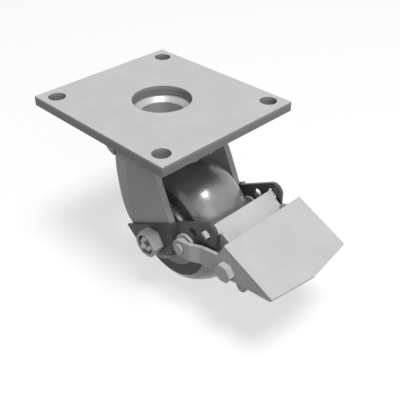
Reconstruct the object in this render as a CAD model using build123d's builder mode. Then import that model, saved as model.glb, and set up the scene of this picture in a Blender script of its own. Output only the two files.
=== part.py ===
from build123d import *
import os
from math import acos, atan2, cos, degrees, hypot, pi, radians, sin, tan

os.makedirs("parts", exist_ok=True)

# Plate caster with a large ball race in place of a kingpin, and a pedal brake on the wheel's face.
# Millimetres. Origin at the centre of the top plate's top face, +Z up, +X towards the pedal,
# +Y along the axle to the caster's left side.

# Top plate
plate_length = 139.7
plate_width = 127.0
plate_thickness = 7.9
bolt_inset_x = 12.7
bolt_inset_y = 11.1
bolt_hole_diameter = 13.0
plate_bore_diameter = 44.4
plate_edge_break = 0.4

# Swivel race
ball_diameter = 9.525
ball_count = 20
ball_circle_radius = 31.0
ball_row_drop = 13.6
race_gap = 1.6
groove_clearance = 0.05
inner_race_bore_diameter = 34.0
inner_race_lip = 3.3
inner_race_height = 23.6
inner_race_foot_bevel = 3.0
crown_radius = 44.2
crown_height = 18.8
crown_bottom = -32.5
crown_edge_break = 1.0
lock_notch_count = 4
lock_notch_width = 11.8
lock_notch_floor = 42.0
lock_notch_height = 10.0

# Swivel seal
seal_inner_radius = 34.0
seal_outer_radius = 41.0
seal_base_height = 1.6
seal_lip_width = 1.2
seal_lip_clearance = 0.4

# Axle and wheel
axle_x = 30.4
axle_z = -92.1
axle_diameter = 12.7
axle_hole_clearance = 0.2
wheel_radius = 50.8
tread_width = 50.8
tread_shoulder_radius = 42.8
tread_shoulder_inset = 3.4
tread_side_radius = 37.6
core_rim_radius = 36.0
core_rim_width = 42.0
core_rim_bevel = 3.0
core_face_radius = 28.6
hub_flare_radius = 25.8
hub_face_radius = 25.0
hub_width = 56.4
hub_recess_depth = 1.4

# Wheel bearings
bearing_bore_diameter = 15.0
bearing_outer_diameter = 35.0
bearing_width = 11.0
bearing_ball_diameter = 6.0
bearing_ball_count = 8
bearing_ring_wall = 2.7
bearing_fit = 0.02
shield_thickness = 0.6
shield_gap = 0.3
sleeve_clearance = 0.15
hub_spacer_radius = 10.2
bearing_spacer_wall = 2.4

# Legs
leg_outer = 37.4
leg_thickness = 5.0
leg_front_top_x = 29.8
leg_front_knee = (46.3, -70.0)
leg_foot_radius = 17.4
leg_crease_x = -0.3
leg_rear_bend = 15.0
leg_rear_x = -19.3
leg_rear_straight_end = -50.6
leg_rear_curve = ((-18.2, -59.1), (-15.7, -68.9), (-10.7, -80.6), (-6.1, -86.2), (0.0, -89.9))
leg_corner_crease = ((11.7, -37.4), (32.8, -42.6))
leg_corner_bend = 12.0

# Brake brackets
bracket_thickness = 2.6
bracket_forward_inner = 33.1
bracket_top_point = (51.6, -67.0)
bracket_slope = 27.6
bracket_strip_width = 25.3
bracket_rear_tip_x = -1.0
bracket_rear_slope = -40.3
bracket_front_x = 90.2
bracket_nose_radius = 7.2
bracket_chin_radius = 3.0
bracket_joggle_start = 49.8
bracket_joggle_run = 2.6
spare_hole = (68.0, -66.8)
spare_hole_radius = 3.5

# Pedal pivot
pivot_x = 61.7
pivot_z = -80.9
pivot_pin_radius = 3.5
pivot_running_fit = 0.1
pivot_disc_radius = 7.4
pivot_disc_thickness = 1.2
pivot_spacer_radius = 9.0
pivot_spacer_flange = 2.3
pivot_spacer_neck_radius = 6.5
pivot_head_radius = 4.2
pivot_head_height = 1.7
pivot_head_clearance = 0.15

# Brake pedal
pedal_sheet = 2.8
pedal_flange_clearance = 1.5
pedal_arm_clearance = 0.2
pedal_arm_radius = 7.0
pedal_joggle_front = 79.0
pedal_joggle_rear = 71.5
pedal_rear_top = (101.5, -57.1)
pedal_front_top = (144.0, -77.0)
pedal_front_point_x = 148.4
pedal_notch = (94.8, -68.9)
pedal_notch_top = (97.3, -65.7)
pedal_travel = 7.0

# Pedal cross bolt
cross_x = 105.0
cross_z = -76.3
cross_bolt_diameter = 7.94
cross_hole_clearance = 0.15
cross_head_flats = 12.7
cross_head_height = 5.3
cross_nut_height = 7.0
cross_sleeve_radius = 5.5
cross_end_length = 2.0

# Brake shoe
shoe_pivot_x = 81.4
shoe_pivot_z = -61.0
shoe_pivot_hole_radius = 4.2
shoe_ratio = 1.9
shoe_sheet = 2.5
shoe_flange_clearance = 0.4
shoe_web_origin = (80.9, -57.8)
shoe_web_slope = -34.0
shoe_web_front = 20.0
shoe_tab_rear = -0.4
shoe_tab_front = 5.2
shoe_tab_reach = 3.3
shoe_pad_half_width = 22.0
shoe_pad_gap = 1.1
shoe_pad_top_angle = 33.0
shoe_pad_bottom_angle = 10.0
shoe_slot_clearance = 0.3
shoe_tongue = (110.8, -92.9)
shoe_tongue_radius = 4.4
shoe_flange_front = ((119.5, -77.0), (112.0, -68.5), (98.6, -60.6))
shoe_right_lug = ((92.6, -57.8), (89.6, -58.0))
shoe_right_lug_root = 8.5
shoe_left_step = ((94.6, -62.2), (93.4, -63.2))
shoe_left_step_root = 14.6
shoe_flange_rear = ((79.0, -62.0), (83.5, -68.0), (97.0, -80.0))

# Fasteners and grease fittings
head_flats = 19.05
head_height = 9.3
head_face_share = 0.94
head_chamfer_angle = 30.0
head_pocket_radius = 7.8
head_pocket_depth = 4.2
nut_height = 9.6
nut_collar_height = 2.4
nut_collar_radius = 8.2
washer_radius = 12.0
washer_thickness = 2.0
bolt_end_length = 3.0
axle_thread_pitch = 1.954
cross_thread_pitch = 1.411
thread_depth_share = 0.613
hexagon_sides = 6
swivel_fitting_flats = 7.9
axle_fitting_flats = 11.1
fitting_hex_height = 2.9
fitting_stem_radius = 1.9
fitting_ball_radius = 2.6
fitting_ball_length = 3.1
fitting_neck_radius = 1.7
fitting_neck_length = 0.6
fitting_mouth_radius = 1.4
swivel_fitting_angle = 135.0

# Levels and places worked out from the sizes above
plate_bottom = -plate_thickness
bolt_spacing_x = plate_length - 2 * bolt_inset_x
bolt_spacing_y = plate_width - 2 * bolt_inset_y
ball_row_z = plate_bottom - ball_row_drop
groove_radius = ball_diameter / 2 + groove_clearance
inner_race_radius = ball_circle_radius - race_gap / 2
outer_race_bore_radius = ball_circle_radius + race_gap / 2
inner_race_bore_radius = inner_race_bore_diameter / 2
inner_race_bottom = plate_bottom - inner_race_height
crown_top = crown_bottom + crown_height
leg_inner = leg_outer - leg_thickness
bracket_rear_outer = leg_outer + bracket_thickness
bracket_forward_outer = bracket_forward_inner + bracket_thickness
pedal_arm_inner = bracket_rear_outer + pedal_arm_clearance
pedal_arm_outer = pedal_arm_inner + pedal_sheet
pedal_flange_inner = bracket_forward_outer + pedal_flange_clearance
pedal_half_width = pedal_flange_inner + pedal_sheet
shoe_flange_outer = bracket_forward_inner - pivot_disc_thickness - shoe_flange_clearance
shoe_tab_end = bracket_forward_outer + shoe_tab_reach
axle_hole_radius = axle_diameter / 2 + axle_hole_clearance
axle_root_radius = axle_diameter / 2 - thread_depth_share * axle_thread_pitch
cross_root_radius = cross_bolt_diameter / 2 - thread_depth_share * cross_thread_pitch
axle_point = (axle_x, axle_z)
pivot_point = (pivot_x, pivot_z)
shoe_pivot = (shoe_pivot_x, shoe_pivot_z)
cross_point = (cross_x, cross_z)
shoe_travel = pedal_travel * shoe_ratio
axle_axis = Axis((axle_x, 0, axle_z), (0, 1, 0))


def rise(slope):
    """Height gained per millimetre along X on an edge of this slope in degrees."""
    return tan(radians(slope))


def turned(point, centre, angle):
    """A side-view point turned about a centre, positive nose down."""
    along = point[0] - centre[0]
    up = point[1] - centre[1]
    turn = radians(angle)
    return (centre[0] + along * cos(turn) + up * sin(turn), centre[1] - along * sin(turn) + up * cos(turn))


def tangent_point(centre, radius, outside, side):
    """Where a line from a point touches a circle, counter-clockwise (+1) or clockwise (-1) of the point."""
    along = outside[0] - centre[0]
    up = outside[1] - centre[1]
    angle = atan2(up, along) + side * acos(radius / hypot(along, up))
    return (centre[0] + radius * cos(angle), centre[1] + radius * sin(angle))


def finish(part, name):
    """Label a finished piece and write it."""
    part.label = name
    export_step(part, f"parts/{name}.step")


# Top plate
with BuildPart() as top_plate:
    with BuildSketch(Plane.XY.offset(plate_bottom)):
        Rectangle(plate_length, plate_width)
        with GridLocations(bolt_spacing_x, bolt_spacing_y, 2, 2):
            Circle(bolt_hole_diameter / 2, mode=Mode.SUBTRACT)
        Circle(plate_bore_diameter / 2, mode=Mode.SUBTRACT)
    extrude(amount=plate_thickness)
    chamfer(top_plate.faces().sort_by(Axis.Z)[-1].outer_wire().edges(), length=plate_edge_break)
    chamfer(top_plate.faces().sort_by(Axis.Z)[0].outer_wire().edges(), length=plate_edge_break)
finish(top_plate.part, "top_plate")

# Inner race, welded under the plate and coned at the mouth of its bore
with BuildPart() as inner_race:
    with BuildSketch(Plane.XZ):
        with BuildLine():
            Polyline(
                (inner_race_bore_radius + inner_race_lip, plate_bottom),
                (inner_race_radius, plate_bottom),
                (inner_race_radius, inner_race_bottom),
                (inner_race_bore_radius + inner_race_foot_bevel, inner_race_bottom),
                (inner_race_bore_radius, inner_race_bottom + inner_race_foot_bevel),
                (inner_race_bore_radius, plate_bottom - inner_race_lip),
                close=True,
            )
        make_face()
        with Locations((ball_circle_radius, ball_row_z)):
            Circle(groove_radius, mode=Mode.SUBTRACT)
    revolve(axis=Axis.Z)
finish(inner_race.part, "inner_race")

# Outer race, the crown of the fork, with lock notches round its rim
with BuildPart() as outer_race:
    with BuildSketch(Plane.XZ):
        with BuildLine():
            Polyline(
                (outer_race_bore_radius, crown_bottom),
                (crown_radius - crown_edge_break, crown_bottom),
                (crown_radius, crown_bottom + crown_edge_break),
                (crown_radius, crown_top - crown_edge_break),
                (crown_radius - crown_edge_break, crown_top),
                (outer_race_bore_radius, crown_top),
                close=True,
            )
        make_face()
        with Locations((ball_circle_radius, ball_row_z)):
            Circle(groove_radius, mode=Mode.SUBTRACT)
    revolve(axis=Axis.Z)
    with BuildSketch(Plane.XY.offset(crown_bottom)):
        with PolarLocations(lock_notch_floor, lock_notch_count):
            Rectangle(2 * crown_radius, lock_notch_width, align=(Align.MIN, Align.CENTER))
    extrude(amount=lock_notch_height, mode=Mode.SUBTRACT)
    fitting_hole_plane = Plane(
        origin=(0, 0, ball_row_z),
        x_dir=(0, 0, 1),
        z_dir=(cos(radians(swivel_fitting_angle)), sin(radians(swivel_fitting_angle)), 0),
    )
    with BuildSketch(fitting_hole_plane.offset(ball_circle_radius)):
        Circle(fitting_stem_radius)
    extrude(amount=crown_radius, mode=Mode.SUBTRACT)
finish(outer_race.part, "outer_race")

# Full row of balls between the races
with BuildPart() as race_balls:
    with Locations((0, 0, ball_row_z)):
        with PolarLocations(ball_circle_radius, ball_count):
            Sphere(ball_diameter / 2)
finish(race_balls.part, "race_balls")

# Lip seal on the outer race, just short of the plate
with BuildPart() as swivel_seal:
    with BuildSketch(Plane.XZ):
        with BuildLine():
            Polyline(
                (seal_inner_radius, crown_top),
                (seal_outer_radius, crown_top),
                (seal_outer_radius, crown_top + seal_base_height),
                (seal_inner_radius + 2 * seal_lip_width, plate_bottom - seal_lip_clearance),
                (seal_inner_radius + seal_lip_width, plate_bottom - seal_lip_clearance),
                close=True,
            )
        make_face()
    revolve(axis=Axis.Z)
finish(swivel_seal.part, "swivel_seal")


def build_grease_fitting(name, seat, flats, stem_depth):
    """A straight grease fitting whose hexagon sits on the seat plane."""
    side = Plane(origin=seat.origin, x_dir=seat.x_dir, z_dir=-seat.y_dir)
    neck_top = fitting_hex_height + fitting_neck_length
    mouth = neck_top + fitting_ball_length
    with BuildPart() as fitting:
        with BuildSketch(seat):
            RegularPolygon(flats / 2, hexagon_sides, major_radius=False)
        extrude(amount=fitting_hex_height)
        with BuildSketch(side):
            with BuildLine():
                Polyline(
                    (0, mouth),
                    (0, -stem_depth),
                    (fitting_stem_radius, -stem_depth),
                    (fitting_stem_radius, fitting_hex_height),
                    (fitting_neck_radius, fitting_hex_height),
                    (fitting_neck_radius, neck_top),
                    (fitting_ball_radius, neck_top + fitting_ball_length / 2),
                    (fitting_mouth_radius, mouth),
                    close=True,
                )
            make_face()
        revolve(axis=Axis(seat.origin, seat.z_dir))
    finish(fitting.part, name)


crown_seat = fitting_hole_plane.offset(crown_radius)
build_grease_fitting(
    "swivel_grease_fitting",
    crown_seat,
    swivel_fitting_flats,
    crown_radius - outer_race_bore_radius - ball_diameter / 2,
)

# Leg on the right, a pressed plate whose rear strip bends in towards the wheel
leg_rear_end_x = leg_rear_x - leg_thickness
leg_bend_run = leg_crease_x - leg_rear_end_x
leg_bend_rise = leg_bend_run * rise(leg_rear_bend)
leg_bend_shift = leg_thickness * tan(radians(leg_rear_bend / 2))
leg_depth = crown_bottom - axle_z + leg_foot_radius
leg_corner_shift = leg_thickness * tan(radians(leg_corner_bend / 2))
leg_corner_depth = leg_depth * rise(leg_corner_bend)
leg_front_tangent = tangent_point(axle_point, leg_foot_radius, leg_front_knee, -1)
leg_rear_tangent = tangent_point(axle_point, leg_foot_radius, leg_rear_curve[-1], 1)
leg_foot_bottom = (axle_x, axle_z - leg_foot_radius)


def corner_plane(y):
    """Plane square to the crease of the leg's upper corner, local x across it and local y outwards."""
    (rear_x, rear_z), (front_x, front_z) = leg_corner_crease
    return Plane(
        origin=(rear_x, y, rear_z),
        x_dir=(rear_z - front_z, 0, front_x - rear_x),
        z_dir=(front_x - rear_x, 0, front_z - rear_z),
    )


with BuildPart() as right_leg:
    with BuildSketch(Plane.XY.offset(axle_z - leg_foot_radius)):
        with BuildLine():
            Polyline(
                (leg_rear_end_x, -leg_outer + leg_bend_rise),
                (leg_crease_x, -leg_outer),
                (leg_front_tangent[0] + leg_thickness, -leg_outer),
                (leg_front_tangent[0] + leg_thickness, -leg_inner),
                (leg_crease_x + leg_bend_shift, -leg_inner),
                (leg_rear_end_x + leg_bend_shift, -leg_inner + leg_bend_rise),
                close=True,
            )
        make_face()
    extrude(amount=leg_depth)
    with BuildSketch(corner_plane(-leg_inner)):
        with BuildLine():
            Polyline(
                (leg_corner_shift, 0),
                (leg_depth, 0),
                (leg_depth, -leg_corner_depth + leg_corner_shift * rise(leg_corner_bend)),
                close=True,
            )
        make_face()
    extrude(amount=leg_depth, both=True)
    with BuildSketch(corner_plane(-leg_outer)):
        with BuildLine():
            Polyline((0, 0), (leg_depth, 0), (leg_depth, -leg_corner_depth), close=True)
        make_face()
    extrude(amount=leg_depth, both=True, mode=Mode.SUBTRACT)
    with BuildSketch(Plane.XZ):
        with BuildLine():
            Polyline(
                (leg_rear_x, leg_rear_straight_end),
                (leg_rear_x, crown_bottom),
                (leg_front_top_x, crown_bottom),
                leg_front_knee,
                leg_front_tangent,
            )
            ThreePointArc(leg_front_tangent, leg_foot_bottom, leg_rear_tangent)
            Line(leg_rear_tangent, leg_rear_curve[-1])
            Spline(*reversed(leg_rear_curve), (leg_rear_x, leg_rear_straight_end))
        make_face()
        with Locations(axle_point):
            Circle(axle_hole_radius, mode=Mode.SUBTRACT)
    extrude(amount=2 * leg_outer, mode=Mode.INTERSECT)
finish(right_leg.part, "right_leg")

with BuildPart() as left_leg:
    mirror(right_leg.part, about=Plane.XZ)
finish(left_leg.part, "left_leg")

# Brake bracket on the right, a strip along the slope of the brake that steps in past the leg
bracket_drop = bracket_strip_width / cos(radians(bracket_slope))
bracket_step = bracket_rear_outer - bracket_forward_outer
bracket_bend_shift = bracket_thickness * tan(atan2(bracket_step, bracket_joggle_run) / 2)
bracket_joggle_end = bracket_joggle_start + bracket_joggle_run


def bracket_top_z(x):
    """Height of the bracket's top edge line."""
    return bracket_top_point[1] + (x - bracket_top_point[0]) * rise(bracket_slope)


rear_tip = (bracket_rear_tip_x, bracket_top_z(bracket_rear_tip_x))
rear_foot_run = bracket_drop / (rise(bracket_slope) - rise(bracket_rear_slope))
rear_foot_x = bracket_rear_tip_x + rear_foot_run
with BuildPart() as right_bracket:
    with BuildSketch(Plane.XY.offset(bracket_top_z(bracket_front_x))):
        with BuildLine():
            Polyline(
                (bracket_rear_tip_x, -bracket_rear_outer),
                (bracket_joggle_start, -bracket_rear_outer),
                (bracket_joggle_end, -bracket_forward_outer),
                (bracket_front_x, -bracket_forward_outer),
                (bracket_front_x, -bracket_forward_inner),
                (bracket_joggle_end - bracket_bend_shift, -bracket_forward_inner),
                (bracket_joggle_start - bracket_bend_shift, -leg_outer),
                (bracket_rear_tip_x, -leg_outer),
                close=True,
            )
        make_face()
    extrude(amount=-2 * bracket_drop - bracket_front_x)
    with BuildSketch(Plane.XZ) as bracket_side:
        with BuildLine():
            Polyline(
                rear_tip,
                (bracket_front_x, bracket_top_z(bracket_front_x)),
                (bracket_front_x, bracket_top_z(bracket_front_x) - bracket_drop),
                (rear_foot_x, bracket_top_z(rear_foot_x) - bracket_drop),
                close=True,
            )
        make_face()
        fillet(bracket_side.vertices().sort_by(Axis.Y)[-1], radius=bracket_nose_radius)
        fillet(bracket_side.vertices().group_by(Axis.X)[-1].sort_by(Axis.Y)[0], radius=bracket_chin_radius)
        with Locations(axle_point):
            Circle(axle_hole_radius, mode=Mode.SUBTRACT)
        with Locations(pivot_point):
            Circle(pivot_pin_radius, mode=Mode.SUBTRACT)
        with Locations(spare_hole):
            Circle(spare_hole_radius, mode=Mode.SUBTRACT)
        with Locations(shoe_pivot):
            Circle(shoe_pivot_hole_radius, mode=Mode.SUBTRACT)
    extrude(amount=2 * bracket_rear_outer, mode=Mode.INTERSECT)
finish(right_bracket.part, "right_bracket")

with BuildPart() as left_bracket:
    mirror(right_bracket.part, about=Plane.XZ)
finish(left_bracket.part, "left_bracket")


def seat_plane(point, y, outward):
    """Plane across the axle direction at a side-view point, facing out on the right (-1) or left (+1)."""
    return Plane(origin=(point[0], y, point[1]), x_dir=(-outward, 0, 0), z_dir=(0, outward, 0))


def section_plane(point):
    """Plane whose local x is a radius and local y runs along Y, for turned pieces on a cross axis."""
    return Plane(origin=(point[0], 0, point[1]), x_dir=(1, 0, 0), z_dir=(0, 0, 1))


def cross_axis(point):
    """Axis along Y through a side-view point."""
    return Axis((point[0], 0, point[1]), (0, 1, 0))


def build_ring(name, point, inner_radius, outer_radius, near_y, far_y):
    """A plain turned ring or tube on a cross axis."""
    with BuildPart() as ring:
        with BuildSketch(section_plane(point)):
            with BuildLine():
                Polyline(
                    (inner_radius, near_y),
                    (outer_radius, near_y),
                    (outer_radius, far_y),
                    (inner_radius, far_y),
                    close=True,
                )
            make_face()
        revolve(axis=cross_axis(point))
    finish(ring.part, name)


def hexagon(seat, flats, height):
    """A hexagonal prism with its free corners chamfered, as on a bolt head or a nut."""
    corner_radius = flats / 2 / cos(pi / hexagon_sides)
    face_radius = head_face_share * flats / 2
    side = Plane(origin=seat.origin, x_dir=seat.x_dir, z_dir=-seat.y_dir)
    with BuildPart() as prism:
        with BuildSketch(seat):
            RegularPolygon(flats / 2, hexagon_sides, major_radius=False)
        extrude(amount=height)
        with BuildSketch(side):
            with BuildLine():
                Polyline(
                    (0, 0),
                    (corner_radius, 0),
                    (corner_radius, height - (corner_radius - face_radius) * rise(head_chamfer_angle)),
                    (face_radius, height),
                    (0, height),
                    close=True,
                )
            make_face()
        revolve(axis=Axis(seat.origin, seat.z_dir), mode=Mode.INTERSECT)
    return prism.part


# Pivot studs: an inner disc, a pin through bracket and arm, and a closed end
def build_pivot(side_name, side):
    """Pivot stud and its spacer on one side, -1 right or +1 left."""
    head_base = pedal_arm_outer + pivot_head_clearance
    with BuildPart() as stud:
        with BuildSketch(section_plane(pivot_point)):
            with BuildLine():
                Polyline(
                    (0, side * (bracket_forward_inner - pivot_disc_thickness)),
                    (pivot_disc_radius, side * (bracket_forward_inner - pivot_disc_thickness)),
                    (pivot_disc_radius, side * bracket_forward_inner),
                    (pivot_pin_radius, side * bracket_forward_inner),
                    (pivot_pin_radius, side * head_base),
                    (pivot_head_radius, side * head_base),
                    (pivot_head_radius, side * (head_base + pivot_head_height)),
                    (0, side * (head_base + pivot_head_height)),
                    close=True,
                )
            make_face()
        revolve(axis=cross_axis(pivot_point))
    finish(stud.part, f"{side_name}_pivot_stud")
    with BuildPart() as spacer:
        with BuildSketch(section_plane(pivot_point)):
            with BuildLine():
                Polyline(
                    (pivot_pin_radius, side * bracket_forward_outer),
                    (pivot_spacer_radius, side * bracket_forward_outer),
                    (pivot_spacer_radius, side * (bracket_forward_outer + pivot_spacer_flange)),
                    (pivot_spacer_neck_radius, side * (bracket_forward_outer + pivot_spacer_flange)),
                    (pivot_spacer_neck_radius, side * (pedal_arm_inner - pivot_running_fit)),
                    (pivot_pin_radius, side * (pedal_arm_inner - pivot_running_fit)),
                    close=True,
                )
            make_face()
        revolve(axis=cross_axis(pivot_point))
    finish(spacer.part, f"{side_name}_pivot_spacer")


build_pivot("right", -1)
build_pivot("left", 1)


# Brake pedal, one folded sheet: a sloping top with a pointed front, two side flanges and two arms
pedal_slope = atan2(pedal_front_top[1] - pedal_rear_top[1], pedal_front_top[0] - pedal_rear_top[0])
pedal_drop = pedal_sheet / cos(pedal_slope)
pedal_front_bottom = (
    pedal_front_top[0] + pedal_sheet * sin(pedal_slope),
    pedal_front_top[1] - pedal_sheet * cos(pedal_slope),
)
pedal_point_top = (
    pedal_front_point_x,
    pedal_front_top[1] + (pedal_front_point_x - pedal_front_top[0]) * tan(pedal_slope),
)
pedal_rear_bottom = (
    pedal_rear_top[0] + pedal_sheet * sin(pedal_slope),
    pedal_rear_top[1] - pedal_sheet * cos(pedal_slope),
)
arm_top_tangent = tangent_point(pivot_point, pedal_arm_radius, pedal_notch, 1)
arm_foot_tangent = tangent_point(pivot_point, pedal_arm_radius, pedal_front_bottom, -1)
pedal_step = pedal_arm_outer - pedal_half_width
pedal_step_run = pedal_joggle_front - pedal_joggle_rear
pedal_bend_shift = pedal_sheet * tan(atan2(pedal_step, pedal_step_run) / 2)
arm_end_x = pivot_x - pedal_arm_radius
pedal_length = (pedal_front_top[0] - arm_end_x) / cos(pedal_slope)
pedal_point_reach = (pedal_front_point_x - pedal_front_top[0]) / cos(pedal_slope)
pedal_top_plane = Plane(
    origin=(pedal_front_top[0], 0, pedal_front_top[1]),
    x_dir=(cos(pedal_slope), 0, sin(pedal_slope)),
    z_dir=(-sin(pedal_slope), 0, cos(pedal_slope)),
)
with BuildPart() as brake_pedal:
    with BuildSketch(Plane.XY.offset(arm_foot_tangent[1] - pedal_arm_radius)):
        with BuildLine():
            Polyline(
                (arm_end_x, -pedal_arm_outer),
                (pedal_joggle_rear, -pedal_arm_outer),
                (pedal_joggle_front, -pedal_half_width),
                (pedal_front_point_x, -pedal_half_width),
                (pedal_front_point_x, -pedal_flange_inner),
                (pedal_joggle_front - pedal_bend_shift, -pedal_flange_inner),
                (pedal_joggle_rear - pedal_bend_shift, -pedal_arm_inner),
                (arm_end_x, -pedal_arm_inner),
                close=True,
            )
        make_face()
        mirror(about=Plane.XZ)
    extrude(amount=pedal_rear_top[1] - arm_foot_tangent[1] + pedal_arm_radius)
    with BuildSketch(Plane.XZ):
        with BuildLine():
            Polyline(
                arm_top_tangent,
                pedal_notch,
                pedal_notch_top,
                pedal_rear_top,
                pedal_front_top,
                pedal_front_bottom,
                arm_foot_tangent,
            )
            ThreePointArc(arm_foot_tangent, (arm_end_x, pivot_z), arm_top_tangent)
        make_face()
        with Locations(pivot_point):
            Circle(pivot_pin_radius + pivot_running_fit, mode=Mode.SUBTRACT)
        with Locations(cross_point):
            Circle(cross_bolt_diameter / 2 + cross_hole_clearance, mode=Mode.SUBTRACT)
    extrude(amount=pedal_arm_outer, both=True, mode=Mode.INTERSECT)
    with BuildSketch(Plane.XZ):
        with BuildLine():
            Polyline(
                pedal_rear_top,
                pedal_point_top,
                (pedal_point_top[0], pedal_point_top[1] - pedal_drop),
                pedal_rear_bottom,
                close=True,
            )
        make_face()
    extrude(amount=pedal_half_width, both=True)
    with BuildSketch(pedal_top_plane):
        with BuildLine():
            Polyline(
                (-pedal_length, -pedal_arm_outer),
                (0, -pedal_arm_outer),
                (0, -pedal_half_width),
                (pedal_point_reach, 0),
                (0, pedal_half_width),
                (0, pedal_arm_outer),
                (-pedal_length, pedal_arm_outer),
                close=True,
            )
        make_face()
    extrude(amount=pedal_length, both=True, mode=Mode.INTERSECT)
finish(brake_pedal.part, "brake_pedal")

# Cross bolt of the pedal, its nut, and the sleeve that works in the shoe's slots. Past its nut a
# bolt is at the root of its thread.
cross_right_seat = seat_plane(cross_point, -pedal_half_width, -1)
cross_left_seat = seat_plane(cross_point, pedal_half_width, 1)
cross_head = hexagon(cross_right_seat, cross_head_flats, cross_head_height)
with BuildPart() as cross_bolt:
    add(cross_head)
    with BuildSketch(cross_right_seat):
        Circle(cross_bolt_diameter / 2)
    extrude(amount=-2 * pedal_half_width - cross_nut_height)
    with BuildSketch(cross_left_seat):
        Circle(cross_root_radius)
    extrude(amount=cross_nut_height + cross_end_length)
finish(cross_bolt.part, "cross_bolt")

cross_nut_blank = hexagon(cross_left_seat, cross_head_flats, cross_nut_height)
with BuildPart() as cross_nut:
    add(cross_nut_blank)
    with BuildSketch(cross_left_seat):
        Circle(cross_bolt_diameter / 2)
    extrude(amount=cross_nut_height, mode=Mode.SUBTRACT)
finish(cross_nut.part, "cross_nut")

build_ring(
    "cross_sleeve",
    cross_point,
    cross_bolt_diameter / 2 + cross_hole_clearance,
    cross_sleeve_radius,
    -pedal_flange_inner,
    pedal_flange_inner,
)

# Brake shoe: a sloping web with a tab through each bracket, a pad towards the tread and two flanges,
# of which only the right one carries a lug above the web
shoe_pad_centre = turned(axle_point, shoe_pivot, -shoe_travel)
shoe_pad_radius = wheel_radius + shoe_pad_gap
cross_point_down = turned(cross_point, pivot_point, pedal_travel)
shoe_slot_end = turned(cross_point_down, shoe_pivot, -shoe_travel)
shoe_slot_middle = ((cross_x + shoe_slot_end[0]) / 2, (cross_z + shoe_slot_end[1]) / 2)
shoe_slot_run = hypot(shoe_slot_end[0] - cross_x, shoe_slot_end[1] - cross_z)
shoe_slot_angle = degrees(atan2(shoe_slot_end[1] - cross_z, shoe_slot_end[0] - cross_x))
shoe_slot_width = 2 * (cross_sleeve_radius + shoe_slot_clearance)


def web_point(along, above):
    """Side-view point on the shoe's web, measured along it from its rear edge and square to it."""
    slope = radians(shoe_web_slope)
    return (
        shoe_web_origin[0] + along * cos(slope) - above * sin(slope),
        shoe_web_origin[1] + along * sin(slope) + above * cos(slope),
    )


def pad_point(radius, angle):
    """Side-view point on the pad at a radius and an angle above level."""
    turn = radians(angle)
    return (shoe_pad_centre[0] + radius * cos(turn), shoe_pad_centre[1] + radius * sin(turn))


shoe_pad_middle_angle = (shoe_pad_top_angle + shoe_pad_bottom_angle) / 2
pad_back_radius = shoe_pad_radius + shoe_sheet
tongue_front = (shoe_tongue[0] + shoe_tongue_radius, shoe_tongue[1])
tongue_rear = (shoe_tongue[0] - shoe_tongue_radius, shoe_tongue[1])
tongue_tip = (shoe_tongue[0], shoe_tongue[1] - shoe_tongue_radius)
with BuildPart() as brake_shoe:
    with BuildSketch(Plane.XZ):
        with BuildLine():
            Polyline(
                web_point(shoe_tab_rear, 0),
                web_point(shoe_web_front, 0),
                web_point(shoe_web_front, -shoe_sheet),
                web_point(shoe_tab_rear, -shoe_sheet),
                close=True,
            )
        make_face()
    extrude(amount=shoe_flange_outer, both=True)
    with BuildSketch(Plane.XZ):
        with BuildLine():
            Polyline(
                web_point(shoe_tab_rear, 0),
                web_point(shoe_tab_front, 0),
                web_point(shoe_tab_front, -shoe_sheet),
                web_point(shoe_tab_rear, -shoe_sheet),
                close=True,
            )
        make_face()
    extrude(amount=shoe_tab_end, both=True)
    with BuildSketch(Plane.XZ):
        with BuildLine():
            Polyline(
                pad_point(shoe_pad_radius, shoe_pad_top_angle),
                web_point(shoe_tab_rear, 0),
                web_point(shoe_tab_rear + shoe_sheet, -shoe_sheet),
                pad_point(pad_back_radius, shoe_pad_top_angle),
            )
            ThreePointArc(
                pad_point(pad_back_radius, shoe_pad_top_angle),
                pad_point(pad_back_radius, shoe_pad_middle_angle),
                pad_point(pad_back_radius, shoe_pad_bottom_angle),
            )
            Line(
                pad_point(pad_back_radius, shoe_pad_bottom_angle),
                pad_point(shoe_pad_radius, shoe_pad_bottom_angle),
            )
            ThreePointArc(
                pad_point(shoe_pad_radius, shoe_pad_bottom_angle),
                pad_point(shoe_pad_radius, shoe_pad_middle_angle),
                pad_point(shoe_pad_radius, shoe_pad_top_angle),
            )
        make_face()
    extrude(amount=shoe_pad_half_width, both=True)
    for side, step, step_root in (
        (-1, shoe_right_lug, shoe_right_lug_root),
        (1, shoe_left_step, shoe_left_step_root),
    ):
        with BuildSketch(Plane.XZ.offset(-side * shoe_flange_outer)):
            with BuildLine():
                Polyline(
                    tongue_front,
                    *shoe_flange_front,
                    *step,
                    web_point(step_root, 0),
                    web_point(shoe_tab_rear, 0),
                    *shoe_flange_rear,
                    tongue_rear,
                )
                ThreePointArc(tongue_rear, tongue_tip, tongue_front)
            make_face()
        extrude(amount=side * shoe_sheet)
    with BuildSketch(Plane.XZ):
        with Locations(shoe_slot_middle):
            SlotCenterToCenter(shoe_slot_run, shoe_slot_width, rotation=shoe_slot_angle)
    extrude(amount=shoe_flange_outer, both=True, mode=Mode.SUBTRACT)
finish(brake_shoe.part, "brake_shoe")

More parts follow.
